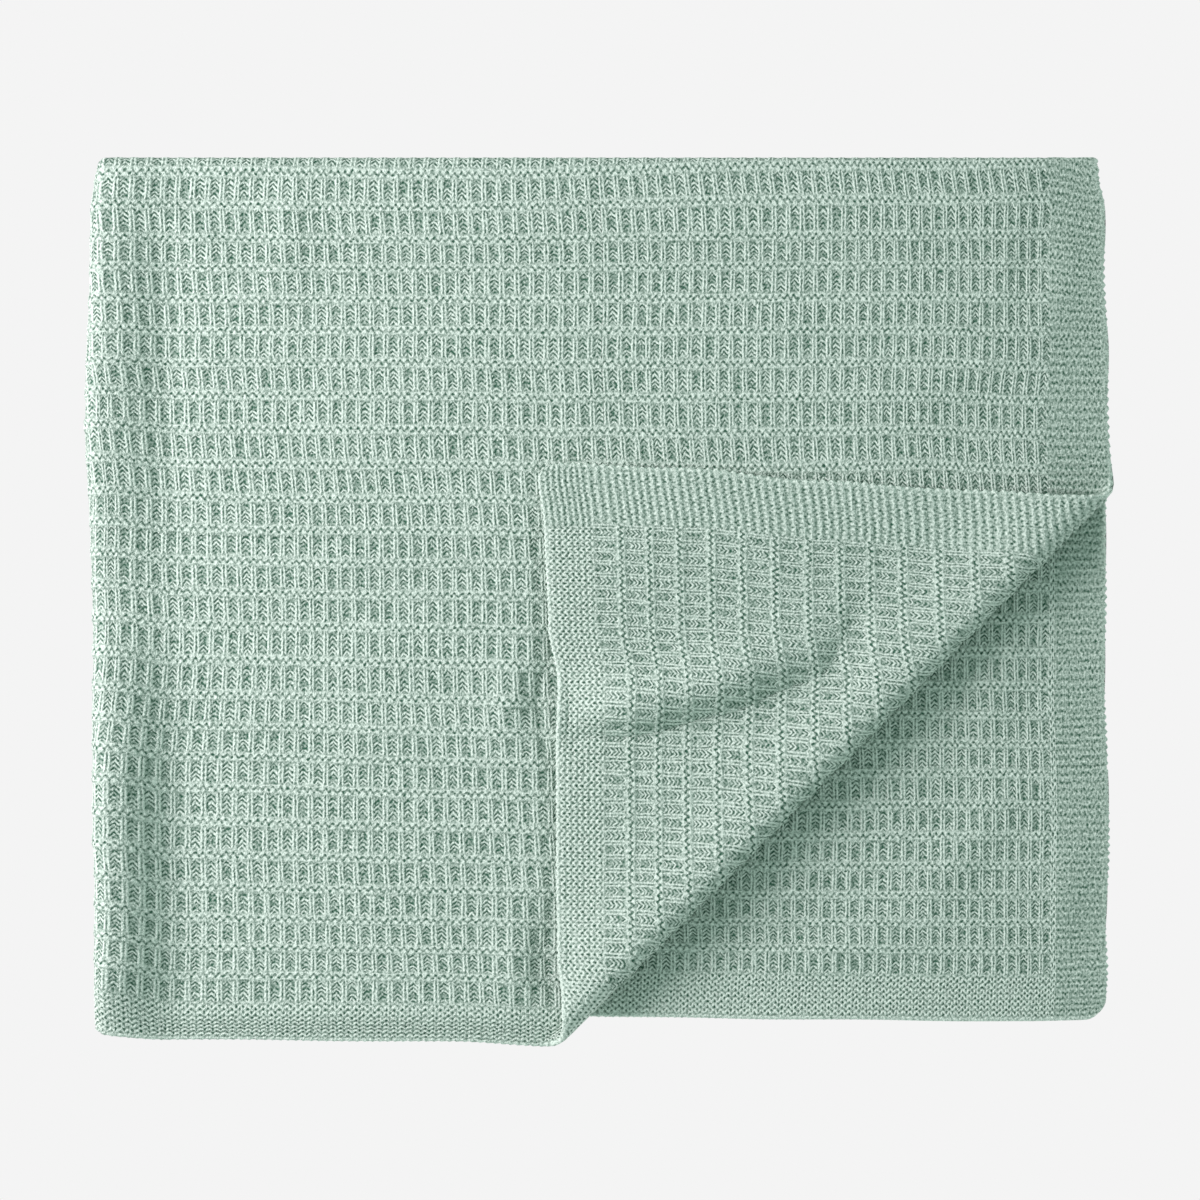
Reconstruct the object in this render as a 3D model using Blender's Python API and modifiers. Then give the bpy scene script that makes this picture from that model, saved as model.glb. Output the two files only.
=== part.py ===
"""Folded baby blanket: one knitted sheet folded in quarters, with its front corner turned back.

The sheet is laid out flat first, with A across and B along it and (0, 0) at its middle. It is then
folded to the left edge (along A = 0) and to the top edge (along B = 0), which makes four layers:
front, second, third and back, from the top down. The front layer's free corner is turned back over
the front in a soft diagonal roll, so that its reverse and the second layer show.

Metres, +Z up, X to the right, Y away. The origin is the middle of the base, on the surface that the
blanket lies on.
"""
import math
from collections import namedtuple

import bmesh
import bpy
import numpy as np
from mathutils import Vector

# ---- driving dimensions ----
HALF_WIDTH = 0.400           # half of the sheet across (A)
HALF_HEIGHT = 0.350          # half of the sheet along (B)
THICKNESS = 0.0030           # the knit at its ridges
BAND_SHARE = 0.80            # thickness of the ribbed bands, as a share of the ridges'
BORDER_SHARE = 0.90          # thickness of the garter border, as a share of the ridges'
FOLD_SHARE = 0.66            # thickness where the knit is pressed at the top fold
PINCH = 0.0065               # where the two folds meet, it is pressed thinner over this length
PINCH_LOSS = 0.40            # by this share
LAYER_PITCH = 0.0034         # from the middle of one layer to the middle of the next
BACK_HEIGHT = THICKNESS * BAND_SHARE / 2     # middle of the back layer, which lies on the surface

RIDGES = [                   # from the top fold's middle to each raised ridge
    0.0084, 0.0211, 0.0340, 0.0451, 0.0575, 0.0696, 0.0823, 0.0953, 0.1086, 0.1222, 0.1355, 0.1476, 0.1602,
    0.1725, 0.1854, 0.1990, 0.2130, 0.2251, 0.2368, 0.2491, 0.2621, 0.2746, 0.2867, 0.2988, 0.3101, 0.3208,
]
BORDER = 0.0185              # width of the border at the lower edge
CORNER_ROUNDING = 0.008      # radius of the sheet's four corners

# ---- left fold ----
LEFT_RADIUS = 0.0040         # how far the roll reaches in, level
LEFT_SETTLE = 0.0195         # over this length the roll settles to the layers' own pitch
LOWER_PUFF = 0.0026          # half the height of the lower pair's roll
LOWER_INSET = 0.0008         # the lower roll stands back by this

# ---- top fold ----
TOP_LINE = 0.1691            # Y where the layers start to turn over
OUTER_REACH = 1.5 * LAYER_PITCH
INNER_REACH = 0.55 * LAYER_PITCH

# ---- turned-back corner ----
CORNER_TIP = 0.1115          # from the origin to the roll's tip, along the (1, -1) diagonal
CORNER_RADIUS = 0.0045       # how far the roll reaches in, level
CORNER_PUFF = 0.0053         # half the height of the roll
CORNER_SETTLE = 0.0185       # over this length the roll settles on the front

# ---- hanging lower edge of the front layer ----
HANG_RUN = 0.0120            # level length over which the edge drops
HANG_DROP = 0.0025           # how far it drops
HANG_SHRINK = 0.0040         # level length that the border draws in there
HANG_END = -0.020            # X where the front layer's lower edge ends at the turned corner
HANG_FADE = 0.028            # the drop sets in over this length from each end

FRONT_LOFT = 0.0024          # the front layer stands this much proud away from its edges
RIGHT_FADE = 0.040           # the loft sets in over this length from the right edge
LOWER_FADE = (-0.200, -0.160)   # and between these Y at the lower edge
CORNER_LOFT = 0.0018         # the turned corner stands proud likewise
CORNER_FADE = (-0.002, 0.006)   # which sets in between these distances from the roll's tip

# ---- lines of the mesh ----
BORDER_STEPS = 4             # rows of faces along the border, which hangs in a curve
CORNER_ROWS = [              # lines along the corner's roll, by how far they lie past its tip
    -0.020, -0.012, -0.007, -0.0045, -0.0022, 0.0, 0.0022, 0.0045, 0.007, 0.012, 0.020, 0.032,
]
MERGE = 0.0012               # points of the flat sheet closer than this become one

KNIT_COLOUR = (0.42, 0.53, 0.46, 1.0)

Outline = namedtuple("Outline", "at edge")
Crease = namedtuple("Crease", "x y turn half_length half_width height")

# Outlines, as the fold or edge lies: "at" is the place along the edge, "edge" where the edge is.
LEFT_EDGE = [                # X of the left fold's tip by Y
    Outline(0.173, -0.1971), Outline(0.155, -0.1995), Outline(0.136, -0.1998), Outline(0.075, -0.202),
    Outline(0.035, -0.1998), Outline(-0.003, -0.1988), Outline(-0.083, -0.1986),
    Outline(-0.095, -0.1979), Outline(-0.140, -0.1979), Outline(-0.171, -0.1977),
]
UPPER_PUFF = [               # half the height of the upper pair's roll by Y
    Outline(0.175, 0.0031), Outline(0.140, 0.0044), Outline(0.060, 0.0044), Outline(0.005, 0.0032),
    Outline(-0.030, 0.0058), Outline(-0.070, 0.0078), Outline(-0.145, 0.0076), Outline(-0.170, 0.0028),
]
FRONT_RIGHT = [              # X of the front layer's right edge by Y, before the corner is turned
    Outline(0.172, 0.1956), Outline(0.157, 0.1988), Outline(0.139, 0.1992), Outline(0.072, 0.2011),
    Outline(0.044, 0.2028), Outline(0.003, 0.2048), Outline(-0.058, 0.2088), Outline(-0.098, 0.2135),
    Outline(-0.160, 0.216), Outline(-0.186, 0.215),
]
SECOND_RIGHT = [             # X of the second layer's right edge by Y
    Outline(0.175, 0.197), Outline(0.034, 0.1999), Outline(-0.033, 0.1994), Outline(-0.079, 0.2012),
    Outline(-0.120, 0.1999), Outline(-0.135, 0.2003), Outline(-0.160, 0.199),
]
FRONT_LOWER = [              # Y of the front layer's lower edge by X, before the corner is turned
    Outline(-0.198, -0.1710), Outline(-0.173, -0.1730), Outline(-0.055, -0.1740), Outline(-0.020, -0.1758),
    Outline(0.005, -0.1765), Outline(0.020, -0.1782), Outline(0.100, -0.1788), Outline(0.130, -0.1778),
    Outline(0.150, -0.1818), Outline(0.190, -0.1832), Outline(0.212, -0.1862),
]
SECOND_LOWER = [             # Y of the second layer's lower edge by X
    Outline(-0.196, -0.1665), Outline(-0.178, -0.163), Outline(-0.030, -0.163), Outline(-0.013, -0.1634),
    Outline(0.000, -0.1641), Outline(0.064, -0.1651), Outline(0.170, -0.166), Outline(0.196, -0.1652),
]
BACK_RIGHT = 0.1972          # X of the third and back layers' right edge
BACK_LOWER = -0.1555         # Y of their lower edge

FRONT_CREASES = [            # soft troughs and ridges of the front layer
    Crease(0.070, 0.127, 0, 0.120, 0.010, -0.0015), Crease(0.085, 0.151, 0, 0.110, 0.009, 0.0008),
    Crease(-0.105, -0.038, -3, 0.080, 0.009, -0.0012), Crease(-0.082, 0.015, 10, 0.035, 0.012, 0.0014),
    Crease(-0.086, -0.050, 0, 0.014, 0.010, 0.001), Crease(-0.019, -0.042, 84, 0.016, 0.010, -0.0030),
    Crease(-0.018, -0.139, 88, 0.018, 0.009, -0.0034), Crease(-0.171, -0.100, 90, 0.062, 0.010, -0.0024),
    Crease(-0.172, 0.085, 90, 0.060, 0.009, -0.0018), Crease(-0.019, -0.035, 92, 0.085, 0.005, -0.0018),
    Crease(-0.166, 0.148, -42, 0.022, 0.006, 0.0009), Crease(-0.124, 0.142, 84, 0.030, 0.008, 0.0008),
    Crease(0.142, 0.090, 20, 0.030, 0.007, 0.001), Crease(0.172, 0.131, 78, 0.022, 0.008, -0.0016),
    Crease(0.186, 0.128, 80, 0.014, 0.006, 0.001), Crease(0.150, 0.062, -12, 0.050, 0.014, -0.001),
    Crease(-0.150, -0.152, 40, 0.016, 0.008, 0.001), Crease(0.010, 0.070, 85, 0.050, 0.020, -0.0005),
    Crease(-0.050, 0.100, 20, 0.040, 0.018, 0.0006),
]
SECOND_CREASES = [           # and of the second layer
    Crease(0.158, -0.032, 70, 0.020, 0.008, 0.0013), Crease(0.146, -0.096, 50, 0.024, 0.009, 0.0012),
    Crease(0.098, -0.137, 15, 0.032, 0.009, 0.0009), Crease(0.184, -0.118, 80, 0.020, 0.008, 0.0007),
]
CORNER_CREASES = [           # and of the turned corner
    Crease(0.004, -0.0555, 2, 0.022, 0.008, -0.0050), Crease(0.036, -0.050, 19, 0.022, 0.008, -0.0060),
    Crease(0.072, -0.038, 19, 0.022, 0.008, -0.0060), Crease(0.0975, -0.019, 70, 0.016, 0.007, -0.0045),
    Crease(0.048, -0.032, 17, 0.040, 0.012, 0.0056), Crease(0.012, -0.036, 10, 0.022, 0.012, 0.0026),
    Crease(-0.012, -0.005, 90, 0.030, 0.006, 0.001), Crease(0.045, 0.020, 80, 0.022, 0.014, -0.0006),
]


def clear_scene():
    for thing in list(bpy.data.objects):
        bpy.data.objects.remove(thing, do_unlink=True)


def ease(value):
    """Smooth step from 0 to 1."""
    value = np.clip(value, 0.0, 1.0)
    return value * value * (3.0 - 2.0 * value)


def fade(value, span):
    """Smooth step from 0 at the start of a span to 1 at its end."""
    return ease((value - span[0]) / (span[1] - span[0]))


def edge_at(outline, place):
    """Read an outline at many places, eased from point to point."""
    points = sorted(outline)
    at = np.array([point.at for point in points])
    edge = np.array([point.edge for point in points])
    place = np.clip(place, at[0], at[-1])
    index = np.clip(np.searchsorted(at, place) - 1, 0, len(at) - 2)
    share = (place - at[index]) / (at[index + 1] - at[index])
    share = 0.5 * (share + ease(share))
    return edge[index] + (edge[index + 1] - edge[index]) * share


def creases(table, x, y):
    """Sum of soft troughs and ridges, each a bell along its length and across its width."""
    height = np.zeros_like(x)
    for crease in table:
        turn = math.radians(crease.turn)
        along = (x - crease.x) * math.cos(turn) + (y - crease.y) * math.sin(turn)
        across = (y - crease.y) * math.cos(turn) - (x - crease.x) * math.sin(turn)
        bell = np.exp(-(along / crease.half_length) ** 2 - (across / crease.half_width) ** 2)
        height += crease.height * bell
    return height


def roll(distance, radius):
    """Follow the sheet from a fold's tip: how far in it has come, and how far up its half turn."""
    turn = np.clip(distance / radius, 0.0, math.pi / 2)
    reach = radius * (1.0 - np.cos(turn)) + np.maximum(distance - radius * math.pi / 2, 0.0)
    return reach, np.sin(turn)


def half_height(reach, radius, puff, settle):
    """Half the height between the two sides of a fold, from its puffed roll to the layers' pitch."""
    past = np.maximum(reach - radius, 0.0)
    return LAYER_PITCH / 2 + (puff - LAYER_PITCH / 2) * np.exp(-(past / settle) ** 2)


def upper_puff(y):
    """The upper roll is fuller in its near half and flattens at the border."""
    return edge_at(UPPER_PUFF, y)


def left_reach(x, y):
    return np.maximum(x - edge_at(LEFT_EDGE, y), 0.0)


def hang_share(x):
    """The lower edge hangs between the left fold, which holds it up, and the turned corner."""
    from_left = ease((x - LEFT_EDGE[-1].edge - LEFT_RADIUS) / HANG_FADE)
    return from_left * (1.0 - ease((x - HANG_END) / HANG_FADE))


def third_height(x, y):
    """Middle of the third layer. The back layer lies flat on the surface."""
    return BACK_HEIGHT + 2.0 * half_height(left_reach(x, y), LEFT_RADIUS, LOWER_PUFF, LEFT_SETTLE)


def second_height(x, y):
    return third_height(x, y) + LAYER_PITCH + np.maximum(creases(SECOND_CREASES, x, y), 0.0)


def front_height(x, y):
    """Middle of the front layer: lofted away from its edges, and hanging over the lower edge."""
    lift = 2.0 * half_height(left_reach(x, y), LEFT_RADIUS, upper_puff(y), LEFT_SETTLE)
    inside = ease((edge_at(FRONT_RIGHT, y) - x) / RIGHT_FADE) * fade(y, LOWER_FADE)
    loft = inside * np.maximum(FRONT_LOFT + creases(FRONT_CREASES, x, y), 0.0)
    hang = hang_share(x) * ease((edge_at(FRONT_LOWER, x) + HANG_RUN - y) / HANG_RUN)
    return second_height(x, y) + lift + loft - HANG_DROP * hang


def round_corners(a, b):
    """Round the sheet's corners by pressing each square corner into a quarter disc."""
    r = CORNER_ROUNDING
    in_a = np.maximum(np.abs(a) - (HALF_WIDTH - r), 0.0) / r
    in_b = np.maximum(np.abs(b) - (HALF_HEIGHT - r), 0.0) / r
    less_a = r * in_a * (1.0 - np.sqrt(1.0 - in_b ** 2 / 2.0))
    less_b = r * in_b * (1.0 - np.sqrt(1.0 - in_a ** 2 / 2.0))
    return a - np.sign(a) * less_a, b - np.sign(b) * less_b


def plan_place(a, b):
    """Where a point of the flat sheet lies in plan, before the corner is turned back.

    Returns X, Y, the signed share of the left fold's turn (+1 on the front and back layers,
    -1 on the second and third) and the top fold's turn (0 above, pi below).
    """
    reach, share = roll(np.abs(a), LEFT_RADIUS)
    share = share * np.sign(a)
    outer = (1.0 + share) / 2.0
    fold_reach = INNER_REACH + (OUTER_REACH - INNER_REACH) * outer
    half_wrap = fold_reach * math.pi / 2
    turn = math.pi / 2 * (1.0 + np.clip(b / half_wrap, -1.0, 1.0))
    upper = (1.0 + np.cos(turn)) / 2.0

    full_reach = roll(HALF_WIDTH, LEFT_RADIUS)[0]
    past_fold = np.maximum(np.abs(b) - half_wrap, 0.0) / (HALF_HEIGHT - half_wrap)
    y = TOP_LINE + (BACK_LOWER - TOP_LINE) * past_fold
    left = edge_at(LEFT_EDGE, y)
    right = BACK_RIGHT + upper * (
        outer * edge_at(FRONT_RIGHT, y) + (1.0 - outer) * edge_at(SECOND_RIGHT, y) - BACK_RIGHT)
    left = left + LOWER_INSET * (1.0 - upper)
    x = left + (right - left) * reach / full_reach

    shrink = HANG_SHRINK * outer * upper * hang_share(x)
    lower = BACK_LOWER + upper * (
        outer * edge_at(FRONT_LOWER, x) + (1.0 - outer) * edge_at(SECOND_LOWER, x) - BACK_LOWER)
    near_edge = ease(1.0 - (1.0 - past_fold) * (HALF_HEIGHT - half_wrap) / (HANG_RUN + HANG_SHRINK))
    y = TOP_LINE + (lower - shrink - TOP_LINE) * past_fold + shrink * near_edge
    y = y + fold_reach * np.sin(turn)
    return x, y, share, turn


def fold_sheet(a, b):
    """Carry points of the flat sheet to their folded places."""
    a, b = round_corners(a, b)
    x, y, share, turn = plan_place(a, b)
    outer = (1.0 + share) / 2.0
    flat_y = np.minimum(y, TOP_LINE)
    above = outer * front_height(x, flat_y) + (1.0 - outer) * second_height(x, flat_y)
    below = outer * BACK_HEIGHT + (1.0 - outer) * third_height(x, flat_y)
    z = (above + below) / 2.0 + (above - below) / 2.0 * np.cos(turn)
    front = (a > LEFT_SETTLE) & (b < -OUTER_REACH * math.pi / 2)
    x[front], y[front], z[front] = turn_corner(x[front], y[front])
    return x, y, z


def turn_corner(x, y):
    """Roll the front layer's free corner back over the diagonal."""
    across = (x - y) / math.sqrt(2.0)
    along = (x + y) / math.sqrt(2.0)
    past = across - CORNER_TIP - CORNER_RADIUS * (math.pi / 2 - 1.0)
    reach, share = roll(np.abs(past), CORNER_RADIUS)
    across = CORNER_TIP - reach
    x = (across + along) / math.sqrt(2.0)
    y = (along - across) / math.sqrt(2.0)
    turned = (1.0 + share * np.sign(past)) / 2.0
    loft = fade(reach, CORNER_FADE) * np.maximum(CORNER_LOFT + creases(CORNER_CREASES, x, y), 0.0)
    half = half_height(reach, CORNER_RADIUS, CORNER_PUFF, CORNER_SETTLE)
    z = front_height(x, y) + turned * (2.0 * half + loft)
    return x, y, z


def corner_line(past):
    """Ends, on the flat sheet, of the line that lies this far past the corner's fold line."""
    target = CORNER_TIP + CORNER_RADIUS * (math.pi / 2 - 1.0) + past
    steps = np.linspace(0.0, 1.0, 200)
    right_b = -HALF_HEIGHT * steps
    x, y, _, _ = plan_place(np.full_like(steps, HALF_WIDTH), right_b)
    on_right = np.interp(target, (x - y) / math.sqrt(2.0), right_b)
    lower_a = HALF_WIDTH * steps
    x, y, _, _ = plan_place(lower_a, np.full_like(steps, -HALF_HEIGHT))
    on_lower = np.interp(target, (x - y) / math.sqrt(2.0), lower_a)
    return (HALF_WIDTH, on_right), (on_lower, -HALF_HEIGHT)


def across_lines():
    """A of the lines down the sheet: close at the left fold, and at the corner's borders."""
    arc = LEFT_RADIUS * math.pi / 2
    near_fold = [arc / 3, arc * 2 / 3, arc, 0.011, 0.017, 0.025, 0.036]
    front = near_fold + [0.066, 0.100, 0.135, 0.170, 0.204, 0.238, 0.272, 0.306, 0.340, 0.374, 0.392, 0.400]
    second = near_fold[:4] + [0.022, 0.060, 0.130, 0.190, 0.245, 0.300, 0.355, 0.392, 0.400]
    return [-a for a in reversed(second)] + [0.0] + front


def along_lines():
    """B of the lines across the sheet, and each line's share of the thickness."""
    upper = []
    for place, following in zip(RIDGES, RIDGES[1:] + [HALF_HEIGHT - BORDER]):
        upper.append((-place, 1.0))
        upper.append((-(place + following) / 2, BAND_SHARE))
    upper += [(BORDER * step / BORDER_STEPS - HALF_HEIGHT, BORDER_SHARE) for step in range(BORDER_STEPS + 1)]
    inner_arc = INNER_REACH * math.pi / 2
    turn = [0.0, inner_arc / 2, inner_arc, 0.0045, 0.0062]
    wrap = [(-b, FOLD_SHARE) for b in reversed(turn[1:])] + [(b, FOLD_SHARE) for b in turn]
    lower = [(b, BAND_SHARE) for b in (0.008, 0.030, 0.075, 0.130, 0.185, 0.240, 0.295, 0.342, 0.350)]
    return sorted(upper + wrap + lower)


def lay_flat_sheet():
    """The flat sheet as a grid, with lines along the corner's roll so that it turns smoothly."""
    a_lines = across_lines()
    b_lines = [b for b, _ in along_lines()]
    sheet = bmesh.new()
    bmesh.ops.create_grid(sheet, x_segments=len(a_lines) - 1, y_segments=len(b_lines) - 1, size=1.0)
    for vertex in sheet.verts:
        column = round((vertex.co.x + 1.0) / 2.0 * (len(a_lines) - 1))
        row = round((vertex.co.y + 1.0) / 2.0 * (len(b_lines) - 1))
        vertex.co = (a_lines[column], b_lines[row], 0.0)
    for past in CORNER_ROWS:
        on_right, on_lower = corner_line(past)
        along = np.subtract(on_lower, on_right)
        front = [f for f in sheet.faces if f.calc_center_median().x > 0.0 > f.calc_center_median().y]
        edges = {edge for face in front for edge in face.edges}
        corners = {vertex for face in front for vertex in face.verts}
        bmesh.ops.bisect_plane(
            sheet, geom=front + list(edges) + list(corners), dist=1e-6,
            plane_co=(*on_right, 0.0), plane_no=(-along[1], along[0], 0.0))
    front = [v for v in sheet.verts if v.co.x > LEFT_SETTLE and v.co.y < -RIDGES[0]]
    bmesh.ops.remove_doubles(sheet, verts=front, dist=MERGE)
    bmesh.ops.triangulate(sheet, faces=sheet.faces)
    return sheet


def knit_material():
    material = bpy.data.materials.new("sage_knit")
    material.use_nodes = True
    shader = material.node_tree.nodes["Principled BSDF"]
    shader.inputs["Base Color"].default_value = KNIT_COLOUR
    shader.inputs["Roughness"].default_value = 0.9
    shader.inputs["Metallic"].default_value = 0.0
    return material


def make_blanket(collection):
    """Fold the flat sheet and give it its thickness, fuller along the ridges."""
    sheet = lay_flat_sheet()
    mesh = bpy.data.meshes.new("blanket")
    sheet.to_mesh(mesh)
    sheet.free()
    flat = np.empty(len(mesh.vertices) * 3)
    mesh.vertices.foreach_get("co", flat)
    a, b = flat[0::3].copy(), flat[1::3].copy()
    folded = np.stack(fold_sheet(a, b), axis=1)
    mesh.vertices.foreach_set("co", folded.ravel())

    blanket = bpy.data.objects.new("blanket", mesh)
    collection.objects.link(blanket)
    rows = along_lines()
    fullness = np.interp(b, [row[0] for row in rows], [row[1] for row in rows])
    fullness *= 1.0 - PINCH_LOSS * np.exp(-(a ** 2 + b ** 2) / PINCH ** 2)
    group = blanket.vertex_groups.new(name="fullness")
    for index, share in enumerate(fullness):
        group.add([index], float(share), "REPLACE")
    solidify = blanket.modifiers.new("thickness", "SOLIDIFY")
    solidify.thickness = THICKNESS
    solidify.offset = 0.0
    solidify.vertex_group = group.name
    mesh.materials.append(knit_material())
    return blanket


def stand_on_origin(blanket):
    """Shift the mesh so that the finished solid's box has the origin at the middle of its base."""
    bpy.context.view_layer.update()
    evaluated = blanket.evaluated_get(bpy.context.evaluated_depsgraph_get())
    corners = np.array([corner[:] for corner in evaluated.bound_box])
    low, high = corners.min(axis=0), corners.max(axis=0)
    shift = Vector(((low[0] + high[0]) / 2, (low[1] + high[1]) / 2, low[2]))
    for vertex in blanket.data.vertices:
        vertex.co -= shift


def main():
    clear_scene()
    collection = bpy.data.collections.new("baby_blanket")
    bpy.context.scene.collection.children.link(collection)
    blanket = make_blanket(collection)
    stand_on_origin(blanket)


main()
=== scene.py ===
import math

import bpy
import numpy as np
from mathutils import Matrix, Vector


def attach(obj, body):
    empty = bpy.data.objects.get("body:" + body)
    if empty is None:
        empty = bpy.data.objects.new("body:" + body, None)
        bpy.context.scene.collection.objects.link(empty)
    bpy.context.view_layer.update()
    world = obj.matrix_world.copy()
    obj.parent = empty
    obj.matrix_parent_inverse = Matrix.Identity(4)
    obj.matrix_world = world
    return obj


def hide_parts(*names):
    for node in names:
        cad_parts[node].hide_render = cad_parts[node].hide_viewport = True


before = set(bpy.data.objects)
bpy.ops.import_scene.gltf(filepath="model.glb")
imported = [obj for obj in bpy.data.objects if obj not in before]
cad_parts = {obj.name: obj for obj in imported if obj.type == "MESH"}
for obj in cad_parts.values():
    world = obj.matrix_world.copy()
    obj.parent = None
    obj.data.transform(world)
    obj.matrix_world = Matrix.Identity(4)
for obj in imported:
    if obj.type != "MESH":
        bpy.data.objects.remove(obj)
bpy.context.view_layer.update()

# Metres, +Z up, X to the right, Y away, as in the CAD. The flat sheet has a across it and b along it,
# from its middle. u counts stitches across and v counts rows along, from the first ridge downwards.

# What a user would change on the sheet. The shares are thicknesses of the ribbed bands, the border and the
# pressed fold. centre is where the CAD puts its origin on the folded sheet.
sheet = {
    "halfWidth": 0.400, "halfHeight": 0.350, "thickness": 0.0030, "layerPitch": 0.0034,
    "bandShare": 0.80, "borderShare": 0.90, "foldShare": 0.66, "cornerRounding": 0.008,
    "centre": (-0.00052, -0.00038, 0.0),
}
# The left fold. upperPuff is the upper roll's half height at each y, and edge is the fold's x at each y.
leftFold = {
    "radius": 0.0040, "settle": 0.0195, "lowerPuff": 0.0026, "lowerInset": 0.0008,
    "upperPuff": [
        (0.175, 0.0028), (0.140, 0.0050), (0.060, 0.0050), (0.005, 0.0034), (-0.030, 0.0062),
        (-0.070, 0.0090), (-0.145, 0.0088), (-0.170, 0.0028),
    ],
    "edge": [
        (0.173, -0.1971), (0.155, -0.1995), (0.136, -0.1998), (0.075, -0.202), (0.035, -0.1998),
        (-0.003, -0.1988), (-0.083, -0.1986), (-0.095, -0.1979), (-0.140, -0.1979), (-0.171, -0.1977),
    ],
}
# The top fold. The outer pair of layers wraps the inner pair, so it reaches further past the line.
topFold = {
    "line": 0.1691, "outerReach": 1.5 * sheet["layerPitch"], "innerReach": 0.55 * sheet["layerPitch"],
}
# The turned corner. tip is how far its diagonal roll lies from the middle. Creases are as in creaseHeight.
corner = {
    "tip": 0.1115, "radius": 0.0045, "puff": 0.0053, "settle": 0.0185, "loft": 0.0018,
    "fade": (-0.002, 0.006),
    "creases": [
        (0.004, -0.0555, 2, 0.022, 0.009, -0.0050), (0.036, -0.050, 19, 0.022, 0.009, -0.0060),
        (0.072, -0.038, 19, 0.022, 0.009, -0.0060), (0.0975, -0.019, 70, 0.016, 0.007, -0.0045),
        (0.050, -0.031, 18, 0.036, 0.013, 0.0096), (0.010, -0.041, 8, 0.020, 0.012, 0.0060),
        (-0.019, -0.035, 92, 0.085, 0.006, 0.0018), (-0.019, -0.042, 84, 0.016, 0.010, 0.0015),
        (-0.018, -0.139, 88, 0.018, 0.009, 0.0017), (0.045, 0.020, 80, 0.022, 0.014, -0.0006),
    ],
}
# The front layer: its right edge's x at each y, its lower edge's y at each x, and how that edge hangs.
front = {
    "right": [
        (0.172, 0.1956), (0.157, 0.1988), (0.139, 0.1992), (0.072, 0.2011), (0.044, 0.2028),
        (0.003, 0.2048), (-0.058, 0.2088), (-0.098, 0.2135), (-0.160, 0.216), (-0.186, 0.215),
    ],
    "lower": [
        (-0.198, -0.171), (-0.173, -0.173), (-0.055, -0.174), (-0.020, -0.1758), (0.005, -0.1765),
        (0.020, -0.1782), (0.100, -0.1788), (0.130, -0.1778), (0.150, -0.1818), (0.190, -0.1832),
        (0.212, -0.1862),
    ],
    "loft": 0.0024, "rightFade": 0.040, "lowerFade": (-0.200, -0.160),
    "hangRun": 0.0120, "hangDrop": 0.0025, "hangShrink": 0.0040, "hangEnd": -0.020, "hangFade": 0.028,
    "creases": [
        (0.070, 0.127, 0, 0.120, 0.010, -0.0022), (0.085, 0.151, 0, 0.110, 0.009, 0.0014),
        (-0.105, -0.038, -3, 0.080, 0.009, -0.0012), (-0.094, 0.017, 10, 0.030, 0.012, 0.0018),
        (-0.086, -0.050, 0, 0.014, 0.010, 0.001), (-0.019, -0.042, 84, 0.016, 0.010, -0.0030),
        (-0.018, -0.139, 88, 0.018, 0.009, -0.0034), (-0.171, -0.100, 90, 0.062, 0.010, -0.0024),
        (-0.172, 0.085, 90, 0.060, 0.009, -0.0018), (-0.019, -0.035, 92, 0.085, 0.005, -0.0018),
        (-0.166, 0.148, -42, 0.022, 0.006, 0.0014), (-0.124, 0.142, 84, 0.030, 0.008, 0.0012),
        (-0.036, -0.038, 84, 0.014, 0.008, 0.0022), (-0.034, -0.145, 88, 0.016, 0.008, 0.0022),
        (0.142, 0.090, 20, 0.030, 0.007, 0.001), (0.172, 0.131, 78, 0.022, 0.008, -0.0022),
        (0.186, 0.128, 80, 0.014, 0.006, 0.0016), (0.150, 0.062, -12, 0.050, 0.014, -0.001),
        (-0.150, -0.152, 40, 0.016, 0.008, 0.001), (0.010, 0.070, 85, 0.050, 0.020, -0.0005),
        (-0.050, 0.100, 20, 0.040, 0.018, 0.0006),
    ],
}
# The second layer, in the same way, and the back layer under them all.
second = {
    "right": [
        (0.175, 0.197), (0.034, 0.1999), (-0.033, 0.1994), (-0.079, 0.2012), (-0.120, 0.1999),
        (-0.135, 0.2003), (-0.160, 0.199),
    ],
    "lower": [
        (-0.196, -0.1665), (-0.178, -0.163), (-0.030, -0.163), (-0.013, -0.1634), (0.000, -0.1641),
        (0.064, -0.1651), (0.170, -0.166), (0.196, -0.1652),
    ],
    "creases": [
        (0.158, -0.032, 70, 0.020, 0.008, 0.0021), (0.146, -0.096, 50, 0.024, 0.009, 0.0020),
        (0.098, -0.137, 15, 0.032, 0.009, 0.0016), (0.184, -0.118, 80, 0.020, 0.008, 0.0012),
    ],
}
back = {"right": 0.1972, "lower": -0.1555, "height": sheet["thickness"] * sheet["bandShare"] / 2}

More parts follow.
